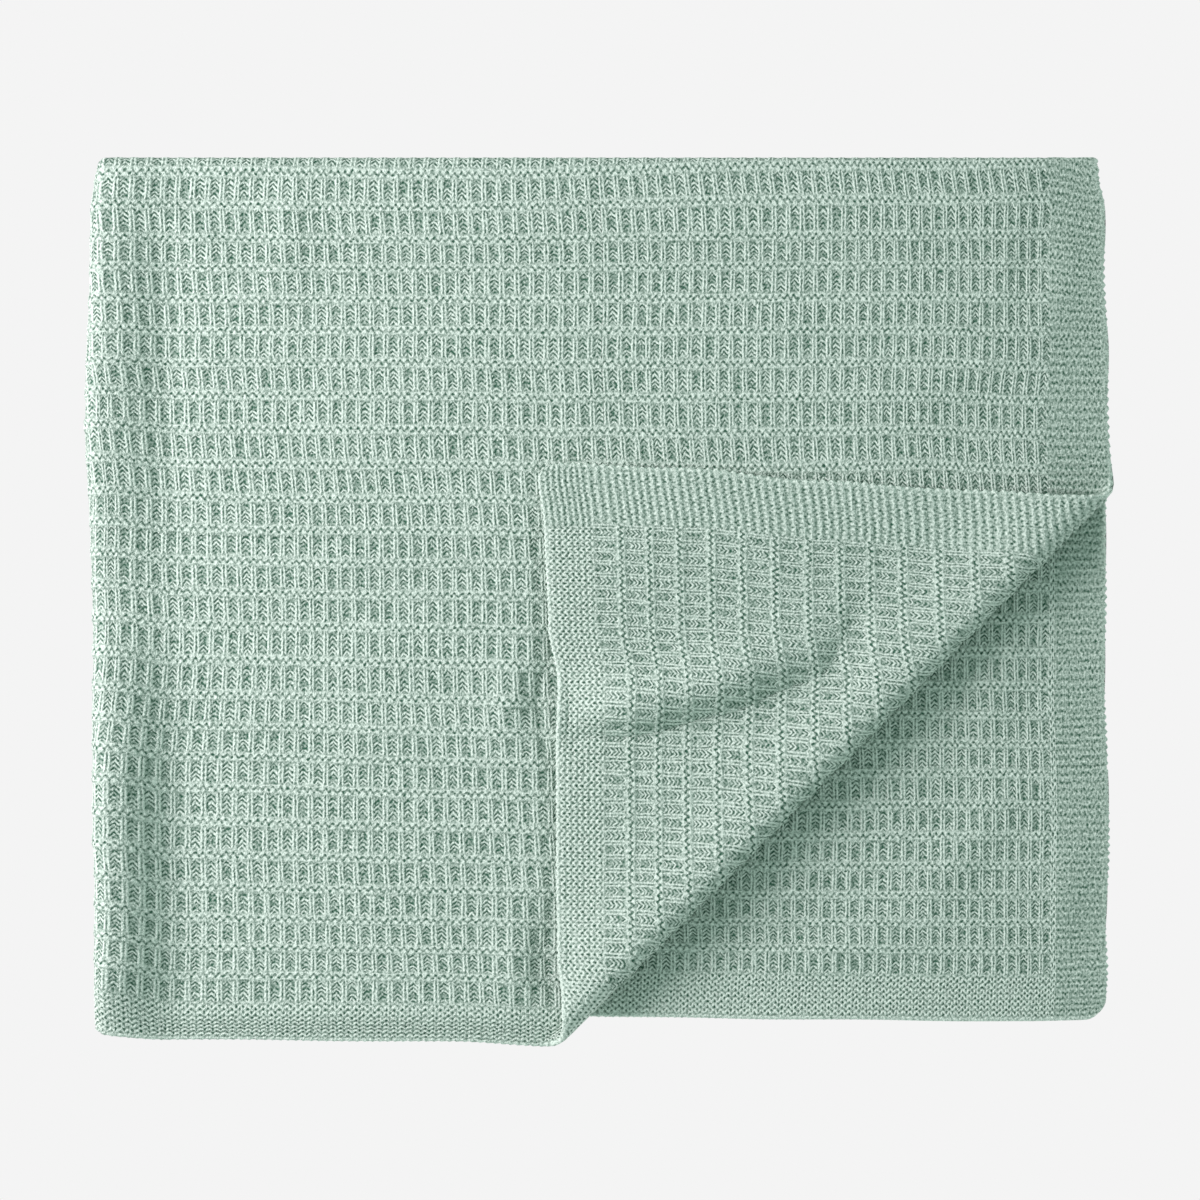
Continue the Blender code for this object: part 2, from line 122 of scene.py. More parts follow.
# What a user would change on the knit. stitches and ridges give where a stitch or a ridge lies on the flat
# sheet, and ridgeRows is how many row numbers lead from ridge to ridge. The borders start at sideBorder and
# endBorder, the sheet ends at edgeStitch and edgeRow, and knitWidth is a raised stitch's width. The garter
# values are its stitches and rows to one of the bands'. The drifts move stitches and rows in metres, the
# last two at driftStitches across and driftRows down, and fade out past the front. rollEnd and rollGain
# are for rollStitch.
knit = {
    "stitches": [
        (0, 0.0), (2.5, 0.0081), (8.5, 0.0265), (14.5, 0.0443), (22.5, 0.0675), (38.5, 0.1121),
        (54.5, 0.1576), (58.5, 0.1694), (74.5, 0.2153), (90.5, 0.2585), (106.5, 0.3018),
        (114.5, 0.3217), (122.5, 0.3411), (130.5, 0.3604), (136.5, 0.3742), (138, 0.3777), (147, 0.4),
    ],
    "ridges": [
        0.0084, 0.0211, 0.0340, 0.0451, 0.0575, 0.0696, 0.0823, 0.0953, 0.1086, 0.1222, 0.1355, 0.1476,
        0.1602, 0.1725, 0.1854, 0.1990, 0.2130, 0.2251, 0.2368, 0.2491, 0.2621, 0.2746, 0.2867, 0.2988,
        0.3101, 0.3208,
    ],
    "ridgeRows": 8.0,
    "sideBorder": 138, "endBorder": 207, "edgeStitch": 147, "edgeRow": 223, "borderPlace": 0.3315,
    "knitWidth": 0.88, "garterStitch": 1.33, "garterRow": 0.9375,
    "ribLift": 0.00024, "ridgeLift": 0.00036, "borderLift": 0.00038,
    "scallop": 0.00055, "scallopStitches": 2.5, "scallopRows": 3.0, "endScallop": 0.75,
    "wanderAcross": 0.00045, "wanderAlong": 0.00055, "calmStitches": 9.0, "calmRows": 16.0,
    "frontStitches": (-40.0, 0.0), "frontRows": (-60.0, -10.0),
    "rollEnd": 2.4, "rollGain": 3.0,
    "secondDrift": [
        (0, 0), (40, -0.0020), (76, -0.0032), (90, -0.0034), (106, -0.0041), (114, -0.0025),
        (122, -0.0011), (131, -0.0004), (147, 0),
    ],
    "driftStitches": (0, 2.5, 54.5, 114.5, 138, 147),
    "driftRows": (-60, 0, 20, 43, 58, 83, 107, 156, 179, 224),
    "stitchDrift": [
        (0, 0, 0, 0, 0, 0), (-0.0046, -0.0046, -0.0019, 0.0019, 0.0026, 0),
        (-0.0028, -0.0028, -0.0006, 0.0016, 0.0004, 0), (0, 0, 0, 0, 0, 0),
        (0.0025, 0.0025, 0.0012, -0.0006, -0.0026, 0), (0.0041, 0.0041, 0.0017, -0.0004, -0.0026, 0),
        (0.0033, 0.0033, 0.0015, 0, -0.0010, 0), (-0.0010, -0.0010, 0.0020, 0, 0, 0),
        (-0.0018, -0.0018, 0.0018, 0, 0, 0), (-0.0022, -0.0022, 0.0018, 0, 0, 0),
    ],
    "rowDrift": [
        (0, 0, 0, 0.0030, 0.0036, 0.0036), (0, 0, 0, 0.0032, 0.0038, 0.0038),
        (0, 0, 0, 0.0018, 0.0022, 0.0022), (0, 0, 0, 0.0002, 0.0003, 0.0003),
        (0.0012, 0.0012, 0, 0, 0, 0), (0.0014, 0.0014, 0, 0, 0, 0),
        (0.0014, 0.0014, 0, 0, 0, 0), (0.0010, 0.0010, 0, 0, 0, 0), (0, 0, 0, 0, 0, 0), (0, 0, 0, 0, 0, 0),
    ],
}
# What a user would change on the relief of a face. Heights are shares of the knit's three lifts, and the
# places are in stitches and rows. The pressed rows lie on the top fold.
faceForm = {
    "legHeight": 0.86, "legGroove": 0.9, "sunkHeight": -1.0, "sunkSides": 1.2,
    "ridgeHalf": 1.30, "ridgeEase": 0.5, "ridgeBase": 0.35,
    "strandPlace": 0.8, "strandHalf": 0.5, "strandWave": 0.18, "garterStart": 1.6, "garterWave": 0.5,
    "pressedRow": -5.2, "pressedHalf": 2.5, "pressedEase": 3.0, "pressedThin": 0.7, "pressedFlat": 0.6,
}
# What a user would change on the sheet's own edge: how far apart its stitches and rows lie, how far in it
# rounds off, how far in the painted highlight along it reaches, and what is left of the under face's
# thickness.
# lines are the places of its last lines, in stitches or rows from the edge, and clear is free of others.
hem = {
    "stitchApart": 0.0025, "rowApart": 0.0011, "rounding": 0.0018, "edgeHighlight": 0.0019, "thinnest": 0.35,
    "lines": (0.42, 0.22, 0.08, 0.0), "clear": 0.5,
}
# What a user would change about the cuts between panels: stitch and row numbers.
cut = {
    "left": -7, "middle": 70, "top": -13, "upperLeft": 90, "upperRight": 80, "second": 150,
    "fineLower": -64, "fineMiddle": -96, "innerSide": -12,
}


# Smooth step from 0 to 1: three times the square less twice the cube.
def ease(value):
    value = np.clip(value, 0.0, 1.0)
    return value * value * (3.0 - 2.0 * value)


# Smooth step from 0 at the start of a span to 1 at its end.
def fade(value, span):
    return ease((value - span[0]) / (span[1] - span[0]))


# Outline read at many places, half straight and half eased from point to point.
def edgeAt(outline, place):
    at, edge = np.array(sorted(outline)).T
    place = np.clip(place, at[0], at[-1])
    index = np.clip(np.searchsorted(at, place) - 1, 0, len(at) - 2)
    share = (place - at[index]) / (at[index + 1] - at[index])
    return edge[index] + (edge[index + 1] - edge[index]) * 0.5 * (share + ease(share))


# Sum of soft troughs and ridges: x, y, turn in degrees, half length, half width and height of each. One is
# a bell along its length and a bell across it.
def creaseHeight(table, x, y):
    height = np.zeros_like(x)
    for placeX, placeY, turn, halfLength, halfWidth, lift in table:
        cosine = math.cos(math.radians(turn))
        sine = math.sin(math.radians(turn))
        along = ((x - placeX) * cosine + (y - placeY) * sine) / halfLength
        across = ((y - placeY) * cosine - (x - placeX) * sine) / halfWidth
        height += lift * np.exp(-along ** 2 - across ** 2)
    return height


# The sheet from a fold's tip, a quarter circle and then straight: how far in it has come, and how much of
# the quarter's height it has made.
def rollOver(distance, radius):
    turn = np.clip(distance / radius, 0.0, math.pi / 2)
    flat = np.maximum(distance - radius * math.pi / 2, 0.0)
    return radius * (1.0 - np.cos(turn)) + flat, np.sin(turn)


# Half the height between the two sides of a fold, from its puffed roll to the layers' pitch: a bell.
def halfHeight(reach, radius, puff, settle):
    past = np.maximum(reach - radius, 0.0)
    rest = sheet["layerPitch"] / 2
    return rest + (puff - rest) * np.exp(-(past / settle) ** 2)


# The upper roll is fuller in its near half and flattens at the border.
def upperPuff(y):
    return edgeAt(leftFold["upperPuff"], y)


# How far in from the left fold's tip a place lies.
def leftReach(x, y):
    return np.maximum(x - edgeAt(leftFold["edge"], y), 0.0)


# The lower edge hangs between the left fold, which holds it up, and the turned corner.
def hangShare(x):
    fromLeft = ease((x - leftFold["edge"][-1][1] - leftFold["radius"]) / front["hangFade"])
    return fromLeft * (1.0 - ease((x - front["hangEnd"]) / front["hangFade"]))


# Middle of the third layer: the back layer's, and the lower roll's height above it.
def thirdHeight(x, y):
    half = halfHeight(leftReach(x, y), leftFold["radius"], leftFold["lowerPuff"], leftFold["settle"])
    return back["height"] + 2.0 * half


# Middle of the second layer: one pitch above the third, and its own soft ridges.
def secondHeight(x, y):
    return thirdHeight(x, y) + sheet["layerPitch"] + np.maximum(creaseHeight(second["creases"], x, y), 0.0)


# Middle of the front layer: the second's, the upper roll's height, the loft and creases, less the hang.
def frontHeight(x, y):
    lift = 2.0 * halfHeight(leftReach(x, y), leftFold["radius"], upperPuff(y), leftFold["settle"])
    inside = ease((edgeAt(front["right"], y) - x) / front["rightFade"]) * fade(y, front["lowerFade"])
    loft = inside * np.maximum(front["loft"] + creaseHeight(front["creases"], x, y), 0.0)
    hang = hangShare(x) * ease((edgeAt(front["lower"], x) + front["hangRun"] - y) / front["hangRun"])
    return secondHeight(x, y) + lift + loft - front["hangDrop"] * hang


# Each square corner of the sheet pressed into a quarter disc.
def roundCorners(a, b):
    radius = sheet["cornerRounding"]
    inA = np.maximum(np.abs(a) - (sheet["halfWidth"] - radius), 0.0) / radius
    inB = np.maximum(np.abs(b) - (sheet["halfHeight"] - radius), 0.0) / radius
    lessA = radius * inA * (1.0 - np.sqrt(1.0 - inB ** 2 / 2.0))
    lessB = radius * inB * (1.0 - np.sqrt(1.0 - inA ** 2 / 2.0))
    return a - np.sign(a) * lessA, b - np.sign(b) * lessB


# Where the flat sheet lies in plan before its corner is turned: X, Y, the signed share of the left
# fold's turn (+1 front and back, -1 second and third) and the top fold's turn (0 above, pi below).
def planPlace(a, b):
    reach, share = rollOver(np.abs(a), leftFold["radius"])
    share = share * np.sign(a)
    outer = (1.0 + share) / 2.0
    foldReach = topFold["innerReach"] + (topFold["outerReach"] - topFold["innerReach"]) * outer
    halfWrap = foldReach * math.pi / 2
    turn = math.pi / 2 * (1.0 + np.clip(b / halfWrap, -1.0, 1.0))
    upper = (1.0 + np.cos(turn)) / 2.0

    flatLength = sheet["halfHeight"] - halfWrap
    fullReach = rollOver(sheet["halfWidth"], leftFold["radius"])[0]
    pastFold = np.maximum(np.abs(b) - halfWrap, 0.0) / flatLength
    y = topFold["line"] + (back["lower"] - topFold["line"]) * pastFold
    right = outer * edgeAt(front["right"], y) + (1.0 - outer) * edgeAt(second["right"], y)
    right = back["right"] + upper * (right - back["right"])
    left = edgeAt(leftFold["edge"], y) + leftFold["lowerInset"] * (1.0 - upper)
    x = left + (right - left) * reach / fullReach

    shrink = front["hangShrink"] * outer * upper * hangShare(x)
    lower = outer * edgeAt(front["lower"], x) + (1.0 - outer) * edgeAt(second["lower"], x)
    lower = back["lower"] + upper * (lower - back["lower"])
    nearEdge = ease(1.0 - (1.0 - pastFold) * flatLength / (front["hangRun"] + front["hangShrink"]))
    y = topFold["line"] + (lower - shrink - topFold["line"]) * pastFold + shrink * nearEdge
    return x, y + foldReach * np.sin(turn), share, turn


# The front layer's free corner rolled back over the diagonal. across runs at right angles to the roll and
# along runs with it, and turned is the share of the half turn that a place has made.
def turnCorner(x, y):
    across = (x - y) / math.sqrt(2.0)
    along = (x + y) / math.sqrt(2.0)
    past = across - corner["tip"] - corner["radius"] * (math.pi / 2 - 1.0)
    reach, share = rollOver(np.abs(past), corner["radius"])
    across = corner["tip"] - reach
    x = (across + along) / math.sqrt(2.0)
    y = (along - across) / math.sqrt(2.0)
    turned = (1.0 + share * np.sign(past)) / 2.0
    loft = np.maximum(corner["loft"] + creaseHeight(corner["creases"], x, y), 0.0)
    loft = fade(reach, corner["fade"]) * loft
    half = halfHeight(reach, corner["radius"], corner["puff"], corner["settle"])
    return x, y, frontHeight(x, y) + turned * (2.0 * half + loft)


# Points of the flat sheet carried to their folded places, about the CAD's origin.
def foldSheet(a, b):
    a, b = roundCorners(a, b)
    x, y, share, turn = planPlace(a, b)
    outer = (1.0 + share) / 2.0
    flatY = np.minimum(y, topFold["line"])
    above = outer * frontHeight(x, flatY) + (1.0 - outer) * secondHeight(x, flatY)
    below = outer * back["height"] + (1.0 - outer) * thirdHeight(x, flatY)
    z = (above + below) / 2.0 + (above - below) / 2.0 * np.cos(turn)
    inFront = (a > leftFold["settle"]) & (b < -topFold["outerReach"] * math.pi / 2)
    x[inFront], y[inFront], z[inFront] = turnCorner(x[inFront], y[inFront])
    return np.stack([x, y, z], axis=-1) - np.array(sheet["centre"])


# Drift table read at many places, eased from column to column (stitches) and from row to row.
def driftAt(table, u, v):
    table = np.array(table)
    columns = np.interp(np.abs(u), knit["driftStitches"], np.arange(len(knit["driftStitches"])))
    rows = np.interp(v, knit["driftRows"], np.arange(len(knit["driftRows"])))
    column = np.minimum(columns.astype(int), table.shape[1] - 2)
    row = np.minimum(rows.astype(int), table.shape[0] - 2)
    right = ease(columns - column)
    down = ease(rows - row)
    upper = table[row, column] * (1 - right) + table[row, column + 1] * right
    lower = table[row + 1, column] * (1 - right) + table[row + 1, column + 1] * right
    return upper * (1 - down) + lower * down


# Stitch and row numbers to places on the flat sheet: the two tables, their drifts, the scalloped edge and a
# slow wander, a product of waves whose lengths never line up.
def knitPlace(u, v):
    stitchPlaces = np.array(knit["stitches"])
    a = np.sign(u) * np.interp(np.abs(u), stitchPlaces[:, 0], stitchPlaces[:, 1])
    ridgeNumbers = np.arange(len(knit["ridges"])) * knit["ridgeRows"]
    rowNumbers = np.concatenate([[-knit["edgeRow"], -knit["endBorder"]], ridgeNumbers,
                                 [knit["endBorder"], knit["edgeRow"]]])
    rowPlaces = np.concatenate([[-sheet["halfHeight"], -knit["borderPlace"]], knit["ridges"],
                                [knit["borderPlace"], sheet["halfHeight"]]])
    b = -np.interp(v, rowNumbers, rowPlaces)
    a = a - (u < 0) * np.interp(-u, *np.array(knit["secondDrift"]).T)

    toSide = knit["edgeStitch"] - np.abs(u)
    toEnd = knit["edgeRow"] - np.abs(v)
    scallop = np.cos(math.pi * knit["garterRow"] * v) + 0.5 * np.sin(v / 5.3)
    a = a + np.sign(u) * knit["scallop"] * scallop * ease(1.0 - toSide / knit["scallopStitches"])
    scallop = np.cos(2 * math.pi * knit["garterStitch"] * knit["endScallop"] * u) + 0.5 * np.sin(u / 4.1)
    b = b - np.sign(v) * knit["scallop"] * 0.5 * scallop * ease(1.0 - toEnd / knit["scallopRows"])

    awayFromSide = ease(toSide / knit["calmStitches"])
    inner = awayFromSide * ease(toEnd / knit["calmRows"])
    onFront = fade(u, knit["frontStitches"]) * fade(v, knit["frontRows"])
    wander = knit["wanderAcross"] * np.sin(v / 9.0 + 1.3 * np.sin(u / 17.0))
    wander = wander * np.cos(u / 13.0 + 0.6 * np.sin(v / 21.0))
    a = a + onFront * driftAt(knit["stitchDrift"], u, v) * awayFromSide + inner * wander
    wander = knit["wanderAlong"] * np.sin(u / 11.0 + 1.1 * np.sin(v / 23.0)) * np.cos(v / 27.0 + 0.4)
    b = b + inner * (onFront * driftAt(knit["rowDrift"], u, v) + wander)
    return a, b


# Stitch numbers that run faster over the upper roll, which stands taller than its own share of the cloth.
def rollStitch(u):
    return u - knit["rollGain"] * (1.0 - np.clip((u / knit["rollEnd"] + 1.0) / 2.0, 0.0, 1.0))


# Share of the garter border at a stitch and row: 1 in the border, 0 in the ribbed bands.
def borderShareAt(u, v):
    side = ease((np.abs(u) - knit["sideBorder"] + 0.25) / 0.5)
    end = ease((np.abs(v) - knit["endBorder"] + 0.5) / 1.0)
    return np.maximum(side, end)


# Stitch and row numbers of the garter knit: narrower stitches in the side borders, fewer rows a ridge.
def garterPlace(u, v, faceU):
    past = np.maximum(np.abs(u) - knit["sideBorder"], 0.0)
    stitch = faceU + np.sign(u) * past * (knit["garterStitch"] - 1.0)
    row = np.sign(v) * np.minimum(np.abs(v), knit["endBorder"]) * (knit["garterRow"] - 1.0) + v
    return stitch, row


# Lift of one face over the cloth's middle, and the thickness as a share. faceU counts stitches so that
# the even ones are raised on this face. In the bands a raised stitch has two legs with a groove between,
# and the stitch beside it is sunk: both are parabolas across the stitch. A ridge is two waved rows of
# bumps, each a bell, and the border is one wave every two rows.
def relief(u, v, faceU, ribShare):
    place = np.mod(faceU, 2.0)
    raised = place < knit["knitWidth"]
    sunkPlace = (place - knit["knitWidth"]) / (2.0 - knit["knitWidth"])
    across = np.where(raised, place / knit["knitWidth"], sunkPlace) - 0.5
    leg = faceForm["legHeight"] + faceForm["legGroove"] * across ** 2
    sunk = faceForm["sunkHeight"] + faceForm["sunkSides"] * across ** 2
    rib = np.where(raised, leg, sunk) * knit["ribLift"] * ribShare

    fromRidge = v - knit["ridgeRows"] * np.round(v / knit["ridgeRows"])
    zone = 1.0 - ease((np.abs(fromRidge) - faceForm["ridgeHalf"]) / faceForm["ridgeEase"])
    waved = np.abs(fromRidge + faceForm["strandWave"] * np.cos(2 * math.pi * across))
    bump = np.exp(-((waved - faceForm["strandPlace"]) / faceForm["strandHalf"]) ** 2)
    ridge = (bump - faceForm["ridgeBase"]) * knit["ridgeLift"]

    stitch, row = garterPlace(u, v, faceU)
    zigzag = faceForm["garterWave"] * np.cos(2 * math.pi * stitch) * (np.abs(u) < knit["sideBorder"])
    garter = np.cos(math.pi * (row - faceForm["garterStart"] + zigzag)) * knit["borderLift"]
    border = borderShareAt(u, v)
    lift = border * garter + (1.0 - border) * (zone * ridge + (1.0 - zone) * rib)
    share = border * sheet["borderShare"] + (1.0 - border) * (zone + (1.0 - zone) * sheet["bandShare"])

    fromFold = np.abs(v - faceForm["pressedRow"])
    pressed = 1.0 - ease((fromFold - faceForm["pressedHalf"]) / faceForm["pressedEase"])
    share = share + pressed * (sheet["foldShare"] - share) * faceForm["pressedThin"]
    return lift * (1.0 - faceForm["pressedFlat"] * pressed), share


# Lines of stitches: four to a stitch, laid out in a raised one and in a sunk one.
def stitchLines(start, end, faceShift):
    stitches = np.arange(start, end)
    even = np.mod(stitches + faceShift, 2) == 0
    width = np.where(even, knit["knitWidth"], 2.0 - knit["knitWidth"])
    begin = np.where(even, stitches, stitches - (1.0 - knit["knitWidth"]))
    return (begin[:, None] + width[:, None] * (np.arange(4) + 0.5) / 4.0).ravel()


# Lines of rows: two to a row.
def rowLines(start, end):
    return np.arange(start, end, 0.5) + 0.25


# Surface of the sheet's middle and its outward direction, on a grid of stitches and rows.
def middleOf(u, v):
    step = 0.35
    at = foldSheet(*knitPlace(u, v))
    alongU = foldSheet(*knitPlace(u + step, v)) - foldSheet(*knitPlace(u - step, v))
    alongV = foldSheet(*knitPlace(u, v + step)) - foldSheet(*knitPlace(u, v - step))
    normal = np.cross(alongV, alongU)
    return at, normal / np.maximum(np.linalg.norm(normal, axis=-1, keepdims=True), 1e-12)


# Quads of a grid of point numbers, one to a cell.
def gridQuads(grid):
    return np.stack([grid[:-1, :-1], grid[:-1, 1:], grid[1:, 1:], grid[1:, :-1]], axis=-1).reshape(-1, 4)


# Triangles of a panel's rim, side by side: each fine edge and the nearer coarse point, then each coarse edge
# and the fine point at its middle. Those on the sheet's own edge are marked, to be shaded smooth.
def panelRim(fine, coarse, keep, uLines, vLines, face):
    triangles = []
    ownEdge = []
    sides = [
        (fine[0], coarse[0], keep[1], uLines[0], "edgeStitch"),
        (fine[-1], coarse[-1], keep[1], uLines[-1], "edgeStitch"),
        (fine[:, 0], coarse[:, 0], keep[0], vLines[0], "edgeRow"),
        (fine[:, -1], coarse[:, -1], keep[0], vLines[-1], "edgeRow"),
    ]
    for index, (fineLine, coarseLine, kept, place, limit) in enumerate(sides):
        fineEdges = np.arange(len(fineLine) - 1)
        segment = np.searchsorted(kept, fineEdges, side="right") - 1
        middle = (kept[segment] + kept[segment + 1]) / 2.0
        nearer = coarseLine[segment + (fineEdges + 0.5 > middle)]
        part = [np.stack([fineLine[:-1], fineLine[1:], nearer], axis=-1)]
        split = ((kept[:-1] + kept[1:]) / 2.0 + 0.5).astype(int)
        part.append(np.stack([fineLine[split], coarseLine[1:], coarseLine[:-1]], axis=-1))
        part = np.concatenate(part)
        flip = (index in (1, 2)) != (face > 0)
        triangles.append(part[:, ::-1] if flip else part)
        ownEdge.append(np.full(len(part), abs(abs(place) - knit[limit]) < 0.01))
    return np.concatenate(triangles), np.concatenate(ownEdge)


# One panel of the cloth, closed all round. Its fine face is a grid of stitch and row lines, lifted by the
# relief, and its hidden face has one line in every few. face is 1 for the sheet's outer side and -1 for its
# inner side. The faces meet in a rim, rounded where it is the sheet's own edge.
def makePanel(name, uLines, vLines, face, every=4, ribShare=1.0):
    count = [len(uLines), len(vLines)]
    keep = [np.unique(np.append(np.arange(0, n, every), n - 1)) for n in count]
    u, v = np.meshgrid(uLines, vLines, indexing="ij")
    at, normal = middleOf(u, v)
    faceU = u if face > 0 else u + 1.0
    if uLines[0] == cut["left"]:  # a front panel, which starts on the upper roll
        faceU = rollStitch(u)
    lift, share = relief(u, v, faceU, ribShare)
    half = sheet["thickness"] / 2 * share
    toSide = (knit["edgeStitch"] - np.abs(u)) * hem["stitchApart"]
    edge = np.minimum(toSide, (knit["edgeRow"] - np.abs(v)) * hem["rowApart"])
    inEdge = 1.0 - np.clip(edge / hem["rounding"], 0.0, 1.0)
    rounding = np.sqrt(np.maximum(1.0 - inEdge ** 2, 0.0))
    upper = at + normal * (face * (half + lift) * rounding)[..., None]
    lower = at - normal * (face * half * (hem["thinnest"] + (1.0 - hem["thinnest"]) * rounding))[..., None]
    lower = lower[np.ix_(*keep)]

    points = np.concatenate([upper.reshape(-1, 3), lower.reshape(-1, 3)])
    points[:, 2] = np.maximum(points[:, 2], 0.0)
    # painted highlight along the sheet's own edge, where the rolled edge catches the light
    edgeHighlight = np.exp(-(edge / hem["edgeHighlight"]) ** 2)
    numbers = [faceU, v, *garterPlace(u, v, faceU), borderShareAt(u, v), np.full_like(u, ribShare), edgeHighlight]
    numbers = np.stack(numbers, axis=-1)
    width = numbers.shape[-1]
    numbers = np.concatenate([numbers.reshape(-1, width), numbers[np.ix_(*keep)].reshape(-1, width)])
    fine = np.arange(count[0] * count[1]).reshape(count)
    coarse = fine.size + np.arange(lower.shape[0] * lower.shape[1]).reshape(lower.shape[:2])

    quads = [gridQuads(fine), gridQuads(coarse)]
    quads[face > 0] = quads[face > 0][:, ::-1]
    triangles, ownEdge = panelRim(fine, coarse, keep, uLines, vLines, face)
    smooth = np.concatenate([np.ones(len(quads[0]) + len(quads[1]), bool), ownEdge])
    return makeMesh(name, points, np.concatenate(quads), triangles, numbers, smooth)


# Numbers into a mesh: corner points, quads then triangles. The stitch and row numbers of the bands and of
# the garter knit are its two UV maps. The shares of the border, of the ribs' depth and of the painted
# highlight along the sheet's own edge are attributes.
def makeMesh(name, points, quads, triangles, numbers, smooth):
    mesh = bpy.data.meshes.new(name)
    corners = np.concatenate([quads.ravel(), triangles.ravel()]).astype(np.int32)
    starts = np.concatenate([np.arange(len(quads)) * 4, quads.size + np.arange(len(triangles)) * 3])
    starts = starts.astype(np.int32)
    mesh.vertices.add(len(points))
    mesh.vertices.foreach_set("co", points.ravel())
    mesh.loops.add(len(corners))
    mesh.loops.foreach_set("vertex_index", corners)
    mesh.polygons.add(len(starts))
    mesh.polygons.foreach_set("loop_start", starts)
    mesh.update(calc_edges=True)
    mesh.polygons.foreach_set("use_smooth", smooth)
    mesh.uv_layers.new(name="knit").data.foreach_set("uv", numbers[corners, :2].ravel())
    mesh.uv_layers.new(name="garter").data.foreach_set("uv", numbers[corners, 2:4].ravel())
    for column, attribute in enumerate(("border", "ribShare", "edgeHighlight"), start=4):
        values = np.ascontiguousarray(numbers[:, column])
        mesh.attributes.new(attribute, "FLOAT", "POINT").data.foreach_set("value", values)
    piece = bpy.data.objects.new(name, mesh)
    bpy.context.scene.collection.objects.link(piece)
    print(name, "has", len(quads) * 2 + len(triangles), "triangles")
    return piece


# Maker of arithmetic nodes: each value is a number or another node's socket.
def nodeMaker(tree):
    def calc(operation, *values, clamp=False):
        node = tree.nodes.new("ShaderNodeMath")
        node.operation = operation
        node.use_clamp = clamp
        for socket, value in zip(node.inputs, values):
            if isinstance(value, (int, float)):
                socket.default_value = value
            else:
                tree.links.new(value, socket)
        return node.outputs[0]
    return calc


# What a user would change on the yarn. unevenAcross and unevenAlong shift the strands, in stitches and
# rows. The tone is how far a place is from the shadow colour to the light one: lower yarn gets a darker
# tone, which is painted shade, and the edge's tone is a painted highlight along the sheet's own edge.
yarn = {
    "shadow": (0.035, 0.125, 0.078, 1.0), "light": (0.780, 0.920, 0.830, 1.0),
    "roughness": 0.86, "specular": 0.12, "bump": 0.00050, "mottle": 0.10, "fuzz": 1.8,
    "toneBase": 0.12, "toneGain": 0.95, "edgeHighlightTone": 0.82, "unevenAcross": 0.22, "unevenAlong": 1.1,
}
# The clouds that make the yarn uneven: scale across, scale along, detail and seed of each. Scales are
# counted to a stitch and a row, and the fuzz's to a metre.
clouds = {
    "across": (0.9, 0.6, 1.0, 3.0), "along": (0.6, 0.4, 1.0, 11.0), "garterStitch": (0.9, 0.6, 1.0, 5.0),
    "garterRow": (0.5, 0.5, 1.0, 17.0), "mottle": (0.06, 0.04, 2.0, 7.0), "fuzz": (950.0, 950.0, 1.0, 5.0),
}
# The strands of the ribbed bands. rowShare makes seven knitted rows of a ridge's eight row numbers. A value
# named Less is taken off in step with the ribs' depth. archBase and archLess set how dark the sunk stitches
# are painted, painted shade in the sunk columns that deepens with the ribs' depth, and legShade is the
# painted shade in the notches between the stitches of a leg.
ribYarn = {
    "rowShare": 0.875, "legPlace": 0.29, "legHalf": 0.29, "legTwist": 1.4, "legShade": 0.55,
    "legFloor": 0.50, "archSlope": 1.7, "archHalf": 0.42, "archTone": 0.24, "archRange": 0.72,
    "archBase": 0.36, "archLess": -0.34,
}
# The strands of a ridge: its wave, the painted shade in the gap between its two strands, its beads and their
# slack sides, painted darker as they fall away.
ridgeYarn = {
    "wave": 0.36, "gapHalf": 0.46, "gapDepth": 1.40, "gapLess": -1.0, "gapCrest": 0.30,
    "beadTone": 0.60, "beadRange": 0.24, "beadFat": 0.12, "slackStart": 0.74, "slackFat": 0.26,
    "slackGain": 0.45, "floor": 0.05, "zoneHalf": 1.25, "zoneGain": 2.5, "zoneWave": 0.10,
}
# The strands of the garter border. A pair of values is for the end borders and for the side borders. The
# floor is the painted shade between the strands, and the side borders are painted darker where the ribs are
# deep, painted shade for the front layer's border that lies away from the light.
garterYarn = {
    "unevenStitch": 0.3, "unevenRow": 0.7, "wave": (0.55, 0.30), "half": (0.64, 0.80), "endTone": 0.78,
    "sideTone": 0.98, "sideLess": -0.60, "floor": (0.07, 0.16), "slopeGain": 3.5,
}
